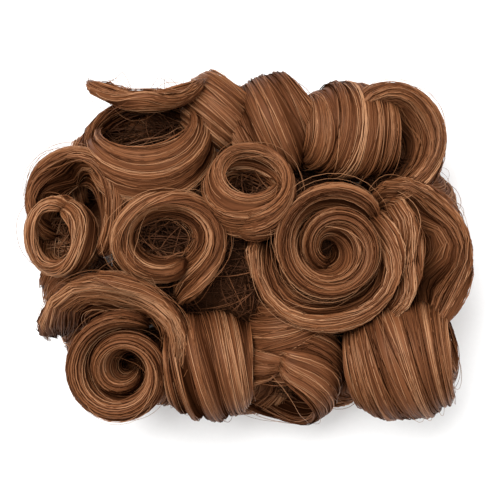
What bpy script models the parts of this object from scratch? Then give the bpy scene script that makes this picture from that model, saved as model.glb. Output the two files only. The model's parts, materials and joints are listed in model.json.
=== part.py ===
"""A curly chignon hairpiece: locks of hair rolled into curls on a sewn weft base, with two side combs.

It lies on its back: the combs rest on the surface and the curls face up. Long side along X, +Z up.
Lengths in the tables are millimetres and angles are degrees.
"""

import math
from collections import namedtuple

import bmesh
import bpy
from mathutils import Matrix, Vector

MM = 0.001
GAP = 0.35  # between neighbours that touch on the real piece

# Driving dimensions of the whole hairpiece
PIECE_LENGTH = 205
PIECE_WIDTH = 160

# Sewn weft base, a low dome that carries every lock
BASE_LENGTH = 132
BASE_WIDTH = 96
BASE_TOP = 44
BASE_UNDERSIDE = 7.3
BASE_SIDES = 24
BASE_RINGS = 4

# Gathered knot of weft at the middle of the underside
KNOT_X = 7
KNOT_LENGTH = 25
KNOT_WIDTH = 22.5
KNOT_UNDERSIDE = 2.5
KNOT_SIDES = 14

# Side combs, moulded in one piece each
COMB_SPAN = 134  # from the outer edge of one spine to that of the other
SPINE_LENGTH = 84
SPINE_WIDTH = 7
SPINE_END_WIDTH = 4.2
SPINE_HEIGHT = 7
SPINE_BOW = 4.5
SPINE_STEPS = 12
TOOTH_COUNT = 14
TOOTH_PITCH = 5.4
TOOTH_LENGTH = 44
TOOTH_HEIGHT = 2.2
TOOTH_INTO_SPINE = 1.5

# Half widths along a tooth, from its root at 0 to its point at 1, and of the slot that parts its two tines
Station = namedtuple("Station", "share half")
TOOTH_EDGE = [
    Station(0, 1.5),
    Station(0.2, 1.6),
    Station(0.34, 2.0),
    Station(0.57, 1.9),
    Station(0.77, 0.95),
    Station(1, 0.4),
]
TOOTH_SLOT = [Station(0.23, 0), Station(0.32, 0.75), Station(0.57, 0.7), Station(0.73, 0)]

# Elastic cords that join the two spines, slack in the middle
CORD_DIAMETER = 2.4
CORD_HEIGHT = 4.0
CORD_POINTS = 18
CORD_WAVE_LENGTH = 56
CORD_SLACK_REACH = 22
Cord = namedtuple("Cord", "name y wave")
CORDS = [Cord("elastic_upper", 27, 1.2), Cord("elastic_lower", -32.4, 1.8)]

# Ribbons of hair
LOCK_SIDES = 6
LOCK_SQUARENESS = 0.8
FLARE_LEFT_AT_TIP = 0.5
ROOT_WIDTH_SHARE = 0.72
TIP_WIDTH_SHARE = 0.6
SECTIONS_PER_TURN = 11
TAIL_SECTIONS = 2
TAIL_SLOPE = 0.42  # a lower lock rises over the comb's spine to the edge of the base

# Colours in linear light
HAIR_BROWN = (0.19, 0.075, 0.032)
HAIR_DARK = (0.075, 0.03, 0.016)
COMB_AMBER = (0.55, 0.2, 0.03)
CORD_RUST = (0.36, 0.12, 0.04)

Lock = namedtuple(
    "Lock",
    "name x y z facing tilt outer inner turns start sense width thick cone squash sink tail",
)

# Each lock is a ribbon of hair rolled about an axis that leans by tilt from straight up towards facing.
# It starts at the angle start on its outer radius, winds in over its turns, and flares by cone.
CURLS = [
    Lock("curl_big_rosette", 37, 1, 57, 0, 6, 25, 6.5, 2.1, 330, 1, 32, 7.0, 22, 1.0, 6, 0),
    Lock("curl_centre_ring", -1, 21, 50, 80, 33, 21, 10, 1.4, 250, 1, 38, 6.4, 4, 1.0, 0, 0),
    Lock("curl_crescent", -39, 4, 55, 320, 12, 24, 13, 1.05, 290, 1, 28, 8.5, 20, 0.95, 3, 0),
    Lock("curl_open_loop", -45, 46, 47, 95, 56, 27, 21, 1.05, 190, -1, 28, 4.6, 0, 1.0, 0, 0),
    Lock("curl_low_left_rosette", -57, -52, 48, 225, 8, 22, 7, 2.0, 30, 1, 34, 6.2, 10, 1.0, 5, 0),
    Lock("curl_low_right_barrel", 69, -50, 46, 8, 70, 26, 7, 2.2, 8, -1, 42, 7.4, 0, 1.0, 0, 0),
    Lock("curl_top_right_barrel", 45, 53, 48, 178, 84, 23, 7, 1.9, 178, -1, 41, 7.4, 0, 1.0, 0, 0),
    Lock("curl_low_centre_barrel", -15, -50, 46, 2, 86, 26, 7, 2.2, 2, -1, 37, 7.4, 0, 1.0, 0, 0),
    Lock("curl_left_ring", -81, 4, 49, 190, 25, 12.5, 11, 0.92, 60, 1, 32, 5.0, 4, 1.2, 0, 0),
    Lock("curl_top_right_ring", 64, 46, 46, 35, 12, 18, 15, 0.8, 140, -1, 30, 8.0, 22, 1.1, 0, 0),
    Lock("curl_low_edge_loop", 18, -56, 36, 270, 52, 23, 19, 0.95, 90, -1, 28, 7.0, 0, 1.0, 0, 0),
    Lock("lock_top_band", 13, 53, 48, 42, 84, 24, 8, 1.8, 42, 1, 34, 7.4, 0, 1.0, 0, 0),
    Lock("lock_open_loop_flap", -44, 52, 42, 95, 56, 30, 28, 0.42, 165, -1, 26, 6.0, 0, 1.0, 0, 0),
    Lock("lock_low_sweep", 34, -2, 48, 0, 4, 33, 30, 0.62, 165, 1, 28, 8.0, 35, 1.0, 0, 0),
    Lock("lock_low_left_arch", -60, -47, 49, 225, 8, 33, 31, 0.6, 195, -1, 28, 8.5, 38, 1.0, 0, 0),
    Lock("lock_left_arch", -79, 23, 47, 170, 10, 16, 14, 0.62, 350, 1, 28, 7.5, 28, 1.1, 0, 0),
    Lock("lock_right_arch", 70, -5, 46, 0, 8, 22, 20, 0.6, 120, -1, 32, 9.0, 40, 1.35, 0, 0),
    Lock("lock_right_inner", 69, -9, 50, 0, 10, 11, 9, 0.7, 110, -1, 26, 7.0, 20, 1.5, 0, 0),
    Lock("lock_top_left_band", -12, 60, 43, 56, 84, 20, 7, 1.6, 56, 1, 24, 7.0, 0, 1.0, 0, 0),
    Lock("lock_low_band", 18, -41, 47, 80, 80, 17, 7, 1.3, 80, 1, 32, 6.4, 0, 1.0, 0, 0),
]

# The lower tier: locks that leave the base below and turn up round the rim
RIM_LOCKS = 14
RIM_CENTRE_HEIGHT = 17
RIM_OUTER = 12.5
RIM_INNER = 11
RIM_TURNS = 0.6
RIM_WIDTH = 38
RIM_THICK = 7
RIM_TAIL = 20
RIM_INSET = 2
RIM_SQUARENESS = 2.6


def clear_scene():
    """Removes whatever the file starts with."""
    for old in list(bpy.data.objects):
        bpy.data.objects.remove(old)


def surface_material(name, colour, roughness, metallic=0.0):
    """A plain Principled material."""
    made = bpy.data.materials.new(name)
    made.use_nodes = True
    shader = made.node_tree.nodes["Principled BSDF"]
    shader.inputs["Base Color"].default_value = (*colour, 1)
    shader.inputs["Roughness"].default_value = roughness
    shader.inputs["Metallic"].default_value = metallic
    return made


def add_object(name, mesh, material):
    """Links a mesh as a named object with one material."""
    made = bpy.data.objects.new(name, mesh)
    bpy.context.scene.collection.objects.link(made)
    made.data.materials.clear()
    made.data.materials.append(material)
    return made


def mesh_of(name, shape):
    """Turns a bmesh into a mesh whose faces point outwards."""
    bmesh.ops.recalc_face_normals(shape, faces=shape.faces)
    mesh = bpy.data.meshes.new(name)
    shape.to_mesh(mesh)
    shape.free()
    return mesh


def loft(name, rings):
    """A closed skin through rings of points that all have the same count."""
    shape = bmesh.new()
    loops = [[shape.verts.new(Vector(point) * MM) for point in ring] for ring in rings]
    count = len(loops[0])
    for near, far in zip(loops, loops[1:]):
        for i in range(count):
            j = (i + 1) % count
            shape.faces.new((near[i], near[j], far[j], far[i]))
    shape.faces.new(loops[0])
    shape.faces.new(loops[-1])
    return mesh_of(name, shape)


def evaluated_copy(thing):
    """The object's mesh with its modifiers worked in."""
    bpy.context.view_layer.update()
    graph = bpy.context.evaluated_depsgraph_get()
    return bpy.data.meshes.new_from_object(thing.evaluated_get(graph))


def taper(share):
    """Width along a lock: gathered at its root and its tip, full between."""
    rise = math.sin(min(share / 0.25, 1) * math.pi / 2)
    fall = math.sin(min((1 - share) / 0.2, 1) * math.pi / 2)
    root = ROOT_WIDTH_SHARE + (1 - ROOT_WIDTH_SHARE) * rise
    tip = TIP_WIDTH_SHARE + (1 - TIP_WIDTH_SHARE) * fall
    return root * tip


def lock_frames(lock):
    """The middle line of a lock: for each section its point, the ribbon's width direction and its taper."""
    lean = Matrix.Rotation(
        math.radians(lock.tilt),
        3,
        Vector((-math.sin(math.radians(lock.facing)), math.cos(math.radians(lock.facing)), 0)),
    )
    across, along, axis = lean.col[0], lean.col[1], lean.col[2]
    centre = Vector((lock.x, lock.y, lock.z))
    count = max(4, round(lock.turns * SECTIONS_PER_TURN))
    frames = []
    for i in range(count + 1):
        share = i / count
        angle = math.radians(lock.start + lock.sense * 360 * lock.turns * share)
        radial = across * math.cos(angle) + along * math.sin(angle)
        forward = (along * math.cos(angle) - across * math.sin(angle)) * lock.sense
        radius = lock.outer + (lock.inner - lock.outer) * share
        flat = across * math.cos(angle) + along * math.sin(angle) * lock.squash
        point = centre + flat * radius - axis * lock.sink * share
        lean_out = math.radians(lock.cone * (1 - (1 - FLARE_LEFT_AT_TIP) * share))
        wide = axis * math.cos(lean_out) + radial * math.sin(lean_out)
        if i == 0 and lock.tail:
            for j in range(TAIL_SECTIONS):
                back = lock.tail * (1 - j / TAIL_SECTIONS)
                frames.append((point - forward * back + Vector((0, 0, back * TAIL_SLOPE)), wide))
        frames.append((point, wide))
    return frames


def lock_rings(lock):
    """Rounded cross-sections along a lock."""
    frames = lock_frames(lock)
    rings = []
    for i, (point, wide) in enumerate(frames):
        ahead = frames[min(i + 1, len(frames) - 1)][0]
        behind = frames[max(i - 1, 0)][0]
        forward = (ahead - behind).normalized()
        wide = (wide - forward * wide.dot(forward)).normalized()
        deep = forward.cross(wide)
        size = taper(i / (len(frames) - 1))
        ring = []
        for k in range(LOCK_SIDES):
            turn = 2 * math.pi * k / LOCK_SIDES
            side = math.copysign(abs(math.cos(turn)) ** LOCK_SQUARENESS, math.cos(turn))
            face = math.copysign(abs(math.sin(turn)) ** LOCK_SQUARENESS, math.sin(turn))
            ring.append(
                point
                + wide * side * lock.width / 2 * size
                + deep * face * lock.thick / 2 * min(1, 0.35 + size)
            )
        rings.append(ring)
    return rings


def rim_locks():
    """The lower tier as rows like the curls, set out evenly round the rim."""
    inset = RIM_OUTER + RIM_THICK / 2 + RIM_INSET
    reach_x = PIECE_LENGTH / 2 - inset
    reach_y = PIECE_WIDTH / 2 - inset
    rows = []
    for i in range(RIM_LOCKS):
        angle = 2 * math.pi * (i + 0.5) / RIM_LOCKS
        c, s = math.cos(angle), math.sin(angle)
        power = 2 / RIM_SQUARENESS
        x = math.copysign(abs(c) ** power, c) * reach_x
        y = math.copysign(abs(s) ** power, s) * reach_y
        outward = math.degrees(math.atan2(y / reach_y**2, x / reach_x**2))
        rows.append(
            Lock(
                f"rim_lock_{i + 1:02d}", x, y, RIM_CENTRE_HEIGHT, outward + 90, 90,
                RIM_OUTER, RIM_INNER, RIM_TURNS, outward + 90, -1,
                RIM_WIDTH, RIM_THICK, 0, 1.0, 0, RIM_TAIL,
            )
        )
    return rows


def base_mesh():
    """A low dome with a flat underside."""
    height = BASE_TOP - BASE_UNDERSIDE
    shape = bmesh.new()
    rings = []
    for i in range(BASE_RINGS):
        rise = math.radians(90 * i / BASE_RINGS)
        reach = math.cos(rise) ** 0.8
        z = BASE_UNDERSIDE + height * math.sin(rise)
        ring = []
        for k in range(BASE_SIDES):
            turn = 2 * math.pi * k / BASE_SIDES
            x = BASE_LENGTH / 2 * reach * math.cos(turn)
            y = BASE_WIDTH / 2 * reach * math.sin(turn)
            ring.append(shape.verts.new(Vector((x, y, z)) * MM))
        rings.append(ring)
    for low, high in zip(rings, rings[1:]):
        for k in range(BASE_SIDES):
            j = (k + 1) % BASE_SIDES
            shape.faces.new((low[k], low[j], high[j], high[k]))
    crown = shape.verts.new(Vector((0, 0, BASE_TOP)) * MM)
    for k in range(BASE_SIDES):
        shape.faces.new((rings[-1][k], rings[-1][(k + 1) % BASE_SIDES], crown))
    shape.faces.new(rings[0])
    return mesh_of("weft_base", shape)


def knot_mesh():
    """A gathered cushion of weft under the middle of the base."""
    top = BASE_UNDERSIDE - GAP
    middle = (top + KNOT_UNDERSIDE) / 2
    levels = [(0.55, KNOT_UNDERSIDE), (0.9, KNOT_UNDERSIDE + 0.8), (1.0, middle), (0.92, top)]
    rings = []
    for reach, z in levels:
        ring = []
        for k in range(KNOT_SIDES):
            turn = 2 * math.pi * k / KNOT_SIDES
            x = KNOT_X + KNOT_LENGTH / 2 * reach * math.cos(turn)
            ring.append((x, KNOT_WIDTH / 2 * reach * math.sin(turn), z))
        rings.append(ring)
    return loft("centre_knot", rings)


def spine_offset(y):
    """How far the spine lies inside its outermost point at this place along it."""
    return SPINE_BOW * (y / (SPINE_LENGTH / 2)) ** 2


def prism(shape, outline, hole, low, high):
    """Adds a flat plate with an optional hole through it to a bmesh."""
    levels = []
    for z in (low, high):
        rim = [shape.verts.new(Vector((x, y, z)) * MM) for x, y in outline]
        eye = [shape.verts.new(Vector((x, y, z)) * MM) for x, y in hole]
        edges = [shape.edges.new((rim[i], rim[(i + 1) % len(rim)])) for i in range(len(rim))]
        edges += [shape.edges.new((eye[i], eye[(i + 1) % len(eye)])) for i in range(len(eye))]
        bmesh.ops.triangle_fill(shape, edges=edges, use_beauty=True)
        levels.append((rim, eye))
    for low_loop, high_loop in zip(*levels):
        for i in range(len(low_loop)):
            j = (i + 1) % len(low_loop)
            shape.faces.new((low_loop[i], low_loop[j], high_loop[j], high_loop[i]))


def spine_mesh(side):
    """The bowed bar that a comb's teeth grow from."""
    shape = bmesh.new()
    places = [SPINE_LENGTH * (i / SPINE_STEPS - 0.5) for i in range(SPINE_STEPS + 1)]
    outline = [(side * (COMB_SPAN / 2 - spine_offset(y)), y) for y in places]
    for y in reversed(places):
        width = SPINE_END_WIDTH if abs(y) == SPINE_LENGTH / 2 else SPINE_WIDTH
        outline.append((side * (COMB_SPAN / 2 - spine_offset(y) - width), y))
    prism(shape, outline, [], 0, SPINE_HEIGHT)
    return mesh_of("spine", shape)


def teeth_mesh(side):
    """The row of teeth. Each has a solid root, parts into two tines round a slot and closes to a point."""
    shape = bmesh.new()
    for k in range(TOOTH_COUNT):
        y = (k - (TOOTH_COUNT - 1) / 2) * TOOTH_PITCH
        root = COMB_SPAN / 2 - SPINE_WIDTH - spine_offset(y) + TOOTH_INTO_SPINE
        loops = []
        for stations in (TOOTH_EDGE, TOOTH_SLOT):
            near = [(side * (root - s.share * TOOTH_LENGTH), y + s.half) for s in stations]
            far = [(side * (root - s.share * TOOTH_LENGTH), y - s.half) for s in stations if s.half]
            loops.append(near + far[::-1])
        prism(shape, loops[0], loops[1], 0, TOOTH_HEIGHT)
    return mesh_of("teeth", shape)


def comb(name, side, material):
    """One side comb. side is 1 at +X and -1 at -X, and its teeth point at the middle."""
    made = add_object(name, spine_mesh(side), material)
    helper = add_object(name + "_teeth", teeth_mesh(side), material)
    helper.hide_render = True
    helper.display_type = "WIRE"
    join = made.modifiers.new("join_teeth", "BOOLEAN")
    join.operation = "UNION"
    join.object = helper
    join.solver = "EXACT"
    return made


def cord(row, material):
    """An elastic cord from spine to spine, lying between the teeth and the base."""
    reach = COMB_SPAN / 2 - SPINE_WIDTH - spine_offset(row.y) - GAP
    curve = bpy.data.curves.new(row.name, "CURVE")
    curve.dimensions = "3D"
    curve.bevel_depth = CORD_DIAMETER / 2 * MM
    curve.bevel_resolution = 2
    curve.use_fill_caps = True
    line = curve.splines.new("POLY")
    line.points.add(CORD_POINTS - 1)
    for i, point in enumerate(line.points):
        x = reach * (2 * i / (CORD_POINTS - 1) - 1)
        slack = math.exp(-((x / CORD_SLACK_REACH) ** 4))
        sway = row.wave * math.sin(2 * math.pi * x / CORD_WAVE_LENGTH) * slack
        point.co = (x * MM, (row.y + sway) * MM, CORD_HEIGHT * MM, 1)
    made = bpy.data.objects.new(row.name, curve)
    bpy.context.scene.collection.objects.link(made)
    curve.materials.append(material)
    return made


def keep_largest_body(mesh):
    """Drops the scraps that a cut leaves beside the main body."""
    shape = bmesh.new()
    shape.from_mesh(mesh)
    unseen = set(shape.faces)
    bodies = []
    while unseen:
        found = [unseen.pop()]
        for face in found:
            near = {other for edge in face.edges for other in edge.link_faces} & unseen
            unseen -= near
            found.extend(near)
        bodies.append(found)
    bodies.sort(key=lambda body: sum(face.calc_area() for face in body))
    for scrap in bodies[:-1]:
        bmesh.ops.delete(shape, geom=scrap, context="FACES")
    shape.to_mesh(mesh)
    shape.free()


def boxes_meet(first, second):
    """Whether two objects' boxes come within the gap of each other."""
    a = [first.matrix_world @ Vector(corner) for corner in first.bound_box]
    b = [second.matrix_world @ Vector(corner) for corner in second.bound_box]
    for k in range(3):
        if min(p[k] for p in a) > max(p[k] for p in b) + GAP * MM:
            return False
        if max(p[k] for p in a) < min(p[k] for p in b) - GAP * MM:
            return False
    return True


def swollen(name, mesh):
    """A hidden object of a mesh grown by the gap, to cut its neighbours with."""
    shape = bmesh.new()
    shape.from_mesh(mesh)
    bmesh.ops.remove_doubles(shape, verts=shape.verts, dist=0.001 * MM)
    shape.normal_update()
    for corner in shape.verts:
        corner.co += corner.normal * min(corner.calc_shell_factor(), 2) * GAP * MM
    grown = bpy.data.meshes.new("cutter_" + name)
    shape.to_mesh(grown)
    shape.free()
    made = bpy.data.objects.new(grown.name, grown)
    bpy.context.scene.collection.objects.link(made)
    made.hide_render = True
    made.display_type = "WIRE"
    return made


def seat(fixed, soft):
    """Presses the soft pieces in: each is cut back where a fixed piece, or an earlier soft one, already lies."""
    cutters = [swollen(thing.name, evaluated_copy(thing)) for thing in fixed]
    for thing in soft:
        whole = swollen(thing.name, thing.data)
        bpy.context.view_layer.update()
        for cutter in cutters:
            if not boxes_meet(thing, cutter):
                continue
            cut = thing.modifiers.new(cutter.name, "BOOLEAN")
            cut.operation = "DIFFERENCE"
            cut.object = cutter
            cut.solver = "MANIFOLD"  # the exact solver drops one of these rolled locks
        thing.data = evaluated_copy(thing)
        thing.modifiers.clear()
        keep_largest_body(thing.data)
        cutters.append(whole)


def main():
    clear_scene()
    hair = surface_material("hair", HAIR_BROWN, 0.42)
    dark = surface_material("weft", HAIR_DARK, 0.7)
    amber = surface_material("amber_plastic", COMB_AMBER, 0.2)
    rust = surface_material("elastic", CORD_RUST, 0.8)
    fixed = [comb("comb_right", 1, amber), comb("comb_left", -1, amber)]
    fixed += [cord(row, rust) for row in CORDS]
    fixed += [add_object("centre_knot", knot_mesh(), hair), add_object("weft_base", base_mesh(), dark)]
    lower = rim_locks()
    rows = CURLS + lower[::2] + lower[1::2]
    soft = [add_object(row.name, loft(row.name, lock_rings(row)), hair) for row in rows]
    seat(fixed, soft)


main()
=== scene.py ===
# %% [markdown]
# A top knot hairpiece that lies on its combs, with its curls up. Rolled locks of hair stand on a sewn base.
# Two amber combs and two elastic cords lie under it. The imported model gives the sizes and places.
# Here every lock gets its hair, and the combs, the cords, the light and the camera are made.

# %% Load the frame
import json
import math
from collections import namedtuple

import bpy
import numpy as np
from mathutils import Matrix, Vector

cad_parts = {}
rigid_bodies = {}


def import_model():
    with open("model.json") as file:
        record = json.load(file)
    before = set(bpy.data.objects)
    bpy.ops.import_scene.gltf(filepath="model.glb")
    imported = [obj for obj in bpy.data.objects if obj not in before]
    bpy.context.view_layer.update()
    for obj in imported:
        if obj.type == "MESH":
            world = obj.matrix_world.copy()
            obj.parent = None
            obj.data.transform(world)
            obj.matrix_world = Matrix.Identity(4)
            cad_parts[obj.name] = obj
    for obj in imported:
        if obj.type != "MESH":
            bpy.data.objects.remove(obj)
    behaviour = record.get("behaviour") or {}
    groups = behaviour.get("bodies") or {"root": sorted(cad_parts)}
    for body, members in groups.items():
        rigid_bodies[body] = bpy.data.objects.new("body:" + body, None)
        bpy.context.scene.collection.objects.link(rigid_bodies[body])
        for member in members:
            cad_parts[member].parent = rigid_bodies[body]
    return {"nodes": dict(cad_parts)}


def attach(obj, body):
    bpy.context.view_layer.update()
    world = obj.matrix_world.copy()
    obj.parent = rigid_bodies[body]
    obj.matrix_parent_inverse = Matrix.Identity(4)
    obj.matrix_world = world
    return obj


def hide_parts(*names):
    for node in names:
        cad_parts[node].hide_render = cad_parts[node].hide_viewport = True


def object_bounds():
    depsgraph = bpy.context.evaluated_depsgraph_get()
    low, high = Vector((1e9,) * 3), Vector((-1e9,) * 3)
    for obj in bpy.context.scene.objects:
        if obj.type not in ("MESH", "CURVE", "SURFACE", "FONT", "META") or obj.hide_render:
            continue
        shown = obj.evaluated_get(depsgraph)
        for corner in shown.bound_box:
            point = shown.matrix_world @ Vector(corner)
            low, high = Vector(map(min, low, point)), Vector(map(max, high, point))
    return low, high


for startup_object in list(bpy.data.objects):
    bpy.data.objects.remove(startup_object)
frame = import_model()
cad_low, cad_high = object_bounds()
bpy.ops.object.select_all(action="DESELECT")
MM = 0.001
print(f"loaded {len(frame['nodes'])} pieces, {(cad_high.x - cad_low.x) / MM:.1f} mm long")

# %% [markdown]
# Hair that was heat-set has a satin gloss and thin streaks of lighter and darker brown that run along it.
# A picture could give the streaks, but it would stretch where a lock flares. So a node group draws them
# from the UV map, whose U runs along the hair and whose V runs across it, both in metres.
# The group gives out only values. The shader stays in each material.

# %% Streaks along the hair


def feed(tree, node, inputs):
    """Sets a node's inputs to values, or links sockets to them."""
    for name, value in inputs.items():
        if isinstance(value, bpy.types.NodeSocket):
            tree.links.new(value, node.inputs[name])
        else:
            node.inputs[name].default_value = value


def shader_node(tree, kind, **inputs):
    """A new node with its inputs fed. An underscore in a name stands for a space."""
    made = tree.nodes.new("ShaderNode" + kind)
    feed(tree, made, {name.replace("_", " "): value for name, value in inputs.items()})
    return made


def noise(tree, vector, scale, detail, roughness):
    """A noise texture read at a vector socket."""
    made = shader_node(tree, "TexNoise", Vector=vector, Scale=scale, Detail=detail, Roughness=roughness)
    return made.outputs["Fac"]


def blend_values(tree, kind, *values):
    """A math node over sockets or numbers."""
    made = tree.nodes.new("ShaderNodeMath")
    made.operation = kind
    feed(tree, made, dict(enumerate(values)))
    return made.outputs[0]


def streak_group():
    """Fine and broad streaks along U, for hair and for spun fibres."""
    group = bpy.data.node_groups.new("fibre_streaks", "ShaderNodeTree")
    inputs = [("UV", "INPUT", "Vector"), ("Along", "INPUT", "Float"), ("Across", "INPUT", "Float")]
    for name, side, kind in inputs + [("Fine", "OUTPUT", "Float"), ("Broad", "OUTPUT", "Float")]:
        group.interface.new_socket(name=name, in_out=side, socket_type="NodeSocket" + kind)
    entry = group.nodes.new("NodeGroupInput").outputs
    leave = group.nodes.new("NodeGroupOutput")
    split = shader_node(group, "SeparateXYZ", Vector=entry["UV"]).outputs
    along = blend_values(group, "MULTIPLY", split["X"], entry["Along"])
    across = blend_values(group, "MULTIPLY", split["Y"], entry["Across"])
    for name, along_share, across_share in (("Fine", 1.0, 1.0), ("Broad", 0.5, 0.12)):
        u = blend_values(group, "MULTIPLY", along, along_share)
        v = blend_values(group, "MULTIPLY", across, across_share)
        join = shader_node(group, "CombineXYZ", X=u, Y=v)
        feed(group, leave, {name: noise(group, join.outputs[0], 1.0, 2.0, 0.6)})
    return group


def streaks_on(tree, along, across):
    """The streaks at the mesh's UV map, with so many in a metre along the hair and across it."""
    uv = tree.nodes.new("ShaderNodeUVMap")
    uv.uv_map = "along_across"
    made = tree.nodes.new("ShaderNodeGroup")
    made.node_tree = STREAKS
    feed(tree, made, {"UV": uv.outputs["UV"], "Along": along, "Across": across})
    return made.outputs


def bumped(tree, height, strength, reach):
    """Normals bumped by a height socket. reach is in metres."""
    return shader_node(tree, "Bump", Height=height, Strength=strength, Distance=reach).outputs["Normal"]


STREAKS = streak_group()
print("streak group sockets:", [item.name for item in STREAKS.interface.items_tree])

# %% [markdown]
# The hair's colour goes from dark chestnut through auburn to a copper sheen. Each strand has its own tone,
# kept in a mesh attribute, and the streaks move it up and down. A small bump makes the fine hairs between
# the modelled strands. The weft under the curls is the same hair in a darker range: painted shade for the
# deep gaps.

# %% Hair finishes


def new_material(name):
    """An empty node material, its tree and its Principled shader."""
    made = bpy.data.materials.new(name)
    made.use_nodes = True
    return made, made.node_tree, made.node_tree.nodes["Principled BSDF"]


def ramp(tree, value, stops):
    """A colour ramp over a value. stops holds (place, colour) pairs."""
    made = shader_node(tree, "ValToRGB", Fac=value)
    while len(made.color_ramp.elements) < len(stops):
        made.color_ramp.elements.new(0.5)
    for element, (place, colour) in zip(made.color_ramp.elements, stops):
        element.position = place
        element.color = (*colour, 1)
    return made.outputs["Color"]


def hair_material(name, stops, roughness, bump):
    """Satin hair whose tone attribute, streaks and stops give its colour. The darkest hair shines least."""
    made, tree, shader = new_material(name)
    tone = tree.nodes.new("ShaderNodeAttribute")
    tone.attribute_name = "tone"
    streaks = streaks_on(tree, 30.0, 1500.0)
    fine = blend_values(tree, "MULTIPLY_ADD", streaks["Fine"], 0.9, -0.45)
    broad = blend_values(tree, "MULTIPLY_ADD", streaks["Broad"], 0.6, -0.3)
    value = blend_values(tree, "ADD", tone.outputs["Fac"], fine)
    value = blend_values(tree, "ADD", value, broad)
    shine = blend_values(tree, "MULTIPLY_ADD", value, 0.42, -0.03)
    shine.node.use_clamp = True
    looks = {
        "Base Color": ramp(tree, value, stops),
        "Roughness": blend_values(tree, "MULTIPLY_ADD", streaks["Fine"], 0.2, roughness - 0.1),
        "Normal": bumped(tree, streaks["Fine"], bump, 0.3 * MM),
        "Specular IOR Level": shine,
        "Specular Tint": WARM_SHINE,
    }
    feed(tree, shader, looks)
    return made


WARM_SHINE = (1.0, 0.8, 0.64, 1)
# Painted shade: the weft's stops are darker than the curls', for the deep gaps between the curls where the
# weft shows.
WEFT_SHADE_BLACK = (0.012, 0.0045, 0.002)
WEFT_SHADE_BROWN = (0.05, 0.017, 0.006)
DARK_CHESTNUT = (0.026, 0.008, 0.0028)
CHESTNUT = (0.108, 0.037, 0.0145)
AUBURN = (0.198, 0.073, 0.027)
COPPER = (0.4, 0.2, 0.098)
CURL_HAIR = hair_material(
    "curl_hair", [(0.0, DARK_CHESTNUT), (0.28, CHESTNUT), (0.6, AUBURN), (1.0, COPPER)], 0.46, 0.9
)
WEFT_HAIR_PAINTED_SHADE = hair_material(
    "weft_hair", [(0.0, WEFT_SHADE_BLACK), (0.5, WEFT_SHADE_BROWN), (0.75, CHESTNUT), (1.0, AUBURN)], 0.6, 0.8
)
print("hair finishes:", CURL_HAIR.name, WEFT_HAIR_PAINTED_SHADE.name)

# %% [markdown]
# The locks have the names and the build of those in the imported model: each is a ribbon of hair rolled
# about a leaning axis. Some are moved by a few millimetres and made fuller, to match the photograph.
# One row per lock holds its centre, the way its axis leans, its radii, its turns and its section.
# The lower tier follows a rule, so a loop makes its rows. Lengths are millimetres and angles are degrees.

# %% The locks

Lock = namedtuple(
    "Lock",
    "name x y z facing tilt outer inner turns start sense width thick cone squash sink dip tail rise",
    defaults=(0, 0, 0, 0),
)
CURLS = [
    Lock("curl_big_rosette", 36, 1.5, 55, 0, 5, 23, 6, 1.6, 25, 1, 30, 7.4, 34, 1.0, 6, 8),
    Lock("curl_centre_ring", -1, 23.5, 55, 82, 30, 17.5, 13.5, 1.35, 250, 1, 36, 6.4, 12, 1.0),
    Lock("curl_crescent", -39, 5, 54, 320, 8, 23, 17, 1.0, 318, 1, 28, 8.0, 22, 0.85, 4, 0, 16, -10),
    Lock("curl_open_loop", -46, 45, 48, 95, 55, 29, 24.5, 1.1, 190, -1, 28, 4.6, -6, 1.0),
    Lock("curl_low_left_rosette", -56.5, -53, 48, 225, 6, 22, 6, 1.7, 60, 1, 32, 7.0, 24, 1.0, 5, 6),
    Lock("curl_low_right_barrel", 69, -48.5, 44, 8, 74, 27.5, 7, 2.2, 8, -1, 45, 7.6, 0, 1.0),
    Lock("curl_top_right_barrel", 45, 52, 41, 178, 84, 22, 7, 1.9, 178, -1, 41, 7.4, 0, 1.0),
    Lock("curl_low_centre_barrel", -18, -51, 43, 2, 86, 25, 7, 2.2, 2, -1, 38, 7.4, 0, 1.0),
    Lock("curl_left_ring", -84.5, 6, 51, 190, 12, 12.5, 12, 1.1, 60, 1, 26, 4.6, 6, 1.2, 3),
    Lock("curl_top_right_ring", 62, 48, 46, 35, 10, 17, 21, 0.68, 160, -1, 28, 8.0, 28, 1.1, 0, 10),
    Lock("curl_low_edge_loop", 17, -55.5, 36, 250, 64, 24, 22, 1.05, 90, -1, 34, 6.4, 0, 1.0),
    Lock("lock_top_band", 13, 56, 39, 42, 84, 22.5, 8, 1.8, 42, 1, 37, 7.4, 0, 1.0),
    Lock("lock_open_loop_flap", -45, 109.5, 53, 0, 0, 44, 43, 0.2, 233, 1, 22, 6.0, 16, 1.0, 0, 6),
    Lock("lock_low_sweep", 35.5, -1, 51, 0, 4, 31, 26, 0.66, 165, 1, 28, 8.0, 34, 1.0, 0, 8),
    Lock("lock_low_left_arch", -60, -47, 49, 225, 8, 31, 29, 0.56, 168, -1, 28, 8.5, 38, 1.0, 0, 12),
    Lock("lock_left_arch", -79, 19.5, 48, 170, 10, 20, 15, 0.8, 300, 1, 28, 7.5, 30, 1.15, 0, 8),
    Lock("lock_right_arch", 69, -6.5, 46, 0, 8, 22, 20, 0.6, 120, -1, 32, 9.0, 42, 1.35, 0, 10),
    Lock("lock_right_inner", 30, -6, 50, 0, 0, 40, 38, 0.24, 40, -1, 26, 7.0, 48, 1.0, 0, 8),
    Lock("lock_top_left_band", -12, 62, 38, 56, 84, 19, 7, 1.6, 56, 1, 26, 7.0, 0, 1.0),
    Lock("lock_low_band", 17, -41, 44, 80, 80, 17, 7, 1.3, 80, 1, 34, 6.4, 0, 1.0),
]
PIECE_LENGTH = 205
PIECE_WIDTH = 160
RIM_LOCKS = 14
RIM = Lock("rim_lock", 0, 0, 17, 90, 90, 12.5, 11, 0.6, 90, -1, 38, 7, 0, 1.0, 0, 0, 20, 8.4)
RIM_INSET = 2
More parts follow.
